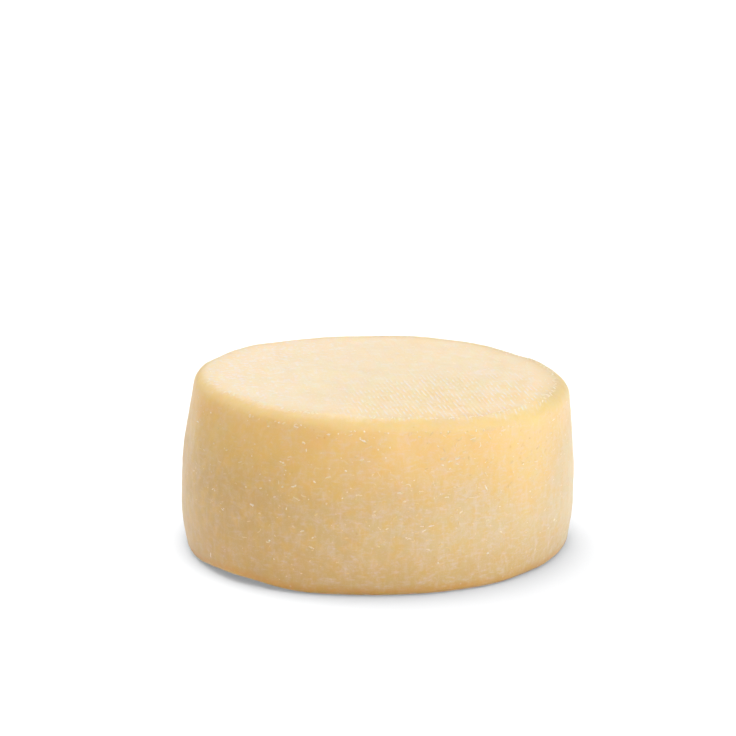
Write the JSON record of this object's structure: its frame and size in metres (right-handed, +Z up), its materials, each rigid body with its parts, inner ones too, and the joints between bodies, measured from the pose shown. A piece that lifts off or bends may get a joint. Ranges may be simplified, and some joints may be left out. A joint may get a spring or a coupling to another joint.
{
  "type": "cheese wheel",
  "caption": "Whole uncut wheel of semi-hard pressed cheese with a pale yellow cloth-marked rind, low and round, lying on its flat side.",
  "frame": {"origin": "middle of the box round the wheel, at the level that it stands on", "axes": "+Z up through the flat top, -Y towards the side that faced the camera, +X to the right seen from there"},
  "size_m": [0.2002, 0.2008, 0.0876],
  "materials": {
    "rind": "waxy natural cheese rind, satin to matt, slightly translucent, with a pale bloom and the print of pressing cloth"
  },
  "bodies": {
    "root": {"cheese_wheel": "rind"}
  },
  "joints": []
}
